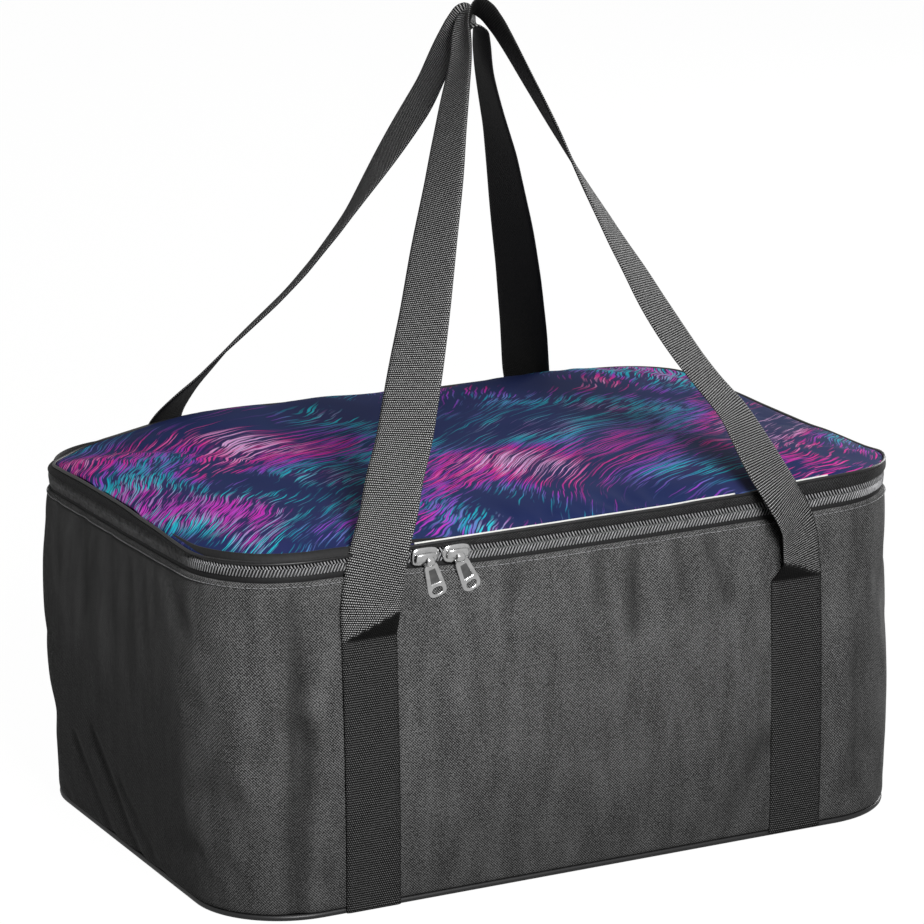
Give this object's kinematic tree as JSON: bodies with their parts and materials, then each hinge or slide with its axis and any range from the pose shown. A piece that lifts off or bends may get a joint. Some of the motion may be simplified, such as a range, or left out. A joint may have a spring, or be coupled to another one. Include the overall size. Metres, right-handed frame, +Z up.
{
  "type": "food delivery bag",
  "caption": "Insulated food delivery bag: rectangular padded body with rounded corners, zipped padded lid with a fabric hinge, and a pair of long crossing webbing handles.",
  "frame": {"origin": "centre of the base panel's underside, where the bag stands", "axes": "+Z up, +X along the bag's long side to the right as seen from its front, -Y out of the front, where the zip's sliders hang"},
  "size_m": [0.526, 0.3984, 0.573],
  "materials": {
    "shell_fabric": "coated polyester twill, matte",
    "printed_fabric": "printed polyester, satin",
    "webbing": "ribbed polypropylene webbing, matte",
    "trim": "woven tape, matte",
    "pale_piping": "piping cord, satin",
    "zip_coil": "nylon coil, satin",
    "foam": "closed-cell foam sheet, matte",
    "foil_lining": "aluminised film, glossy",
    "base_board": "plastic board, matte",
    "nickel": "bright nickel plating"
  },
  "bodies": {
    "body": {"base_panel": "shell_fabric", "base_piping": "trim", "base_board": "base_board", "base_foam": "foam", "floor_lining": "foil_lining", "outer_wall": "shell_fabric", "wall_foam": "foam", "wall_lining": "foil_lining", "rim_binding": "trim", "zip_tape_lower": "trim", "zip_coil_lower": "zip_coil", "zip_end_tab_left": "trim", "zip_end_tab_right": "trim", "hinge_fabric_lower": "shell_fabric", "front_left_strap": "webbing", "front_right_strap": "webbing", "rear_left_strap": "webbing", "rear_right_strap": "webbing"},
    "lid": {"lid_panel": "printed_fabric", "lid_piping": "pale_piping", "lid_band": "shell_fabric", "lid_foam": "foam", "lid_lining": "foil_lining", "lid_binding": "trim", "zip_tape_upper": "trim", "zip_coil_upper": "zip_coil", "hinge_fabric_upper": "shell_fabric"},
    "front_handle": {"front_handle": "webbing"},
    "rear_handle": {"rear_handle": "webbing"},
    "left_slider": {"left_slider": "nickel"},
    "left_pull": {"left_pull": "nickel"},
    "right_slider": {"right_slider": "nickel"},
    "right_pull": {"right_pull": "nickel"}
  },
  "joints": [
    {"name": "lid_hinge", "type": "hinge", "parent": "body", "child": "lid", "pos_m": [0, 0.184, 0.237], "axis": [-1, 0, 0], "range_deg": [0, 105]},
    {"name": "front_handle_swing", "type": "hinge", "parent": "body", "child": "front_handle", "pos_m": [0, -0.1992, 0.1967], "axis": [1, 0, 0], "range_deg": [0, 140]},
    {"name": "rear_handle_swing", "type": "hinge", "parent": "body", "child": "rear_handle", "pos_m": [0, 0.1992, 0.1967], "axis": [-1, 0, 0], "range_deg": [0, 140]},
    {"name": "left_slider_travel", "type": "slide", "parent": "body", "child": "left_slider", "axis": [-1, 0, 0], "range_m": [0, 0.073]},
    {"name": "right_slider_travel", "type": "slide", "parent": "body", "child": "right_slider", "axis": [1, 0, 0], "range_m": [0, 0.28]},
    {"name": "left_pull_swing", "type": "hinge", "parent": "left_slider", "child": "left_pull", "pos_m": [-0.116, -0.1871, 0.237], "axis": [-1, 0, 0], "range_deg": [0, 110]},
    {"name": "right_pull_swing", "type": "hinge", "parent": "right_slider", "child": "right_pull", "pos_m": [-0.091, -0.1871, 0.237], "axis": [-1, 0, 0], "range_deg": [0, 110]}
  ],
  "couplings": [
    {"joint": "front_handle_swing", "follows": "lid_hinge", "ratio": 1.3333},
    {"joint": "rear_handle_swing", "follows": "lid_hinge", "ratio": 1.3333}
  ]
}
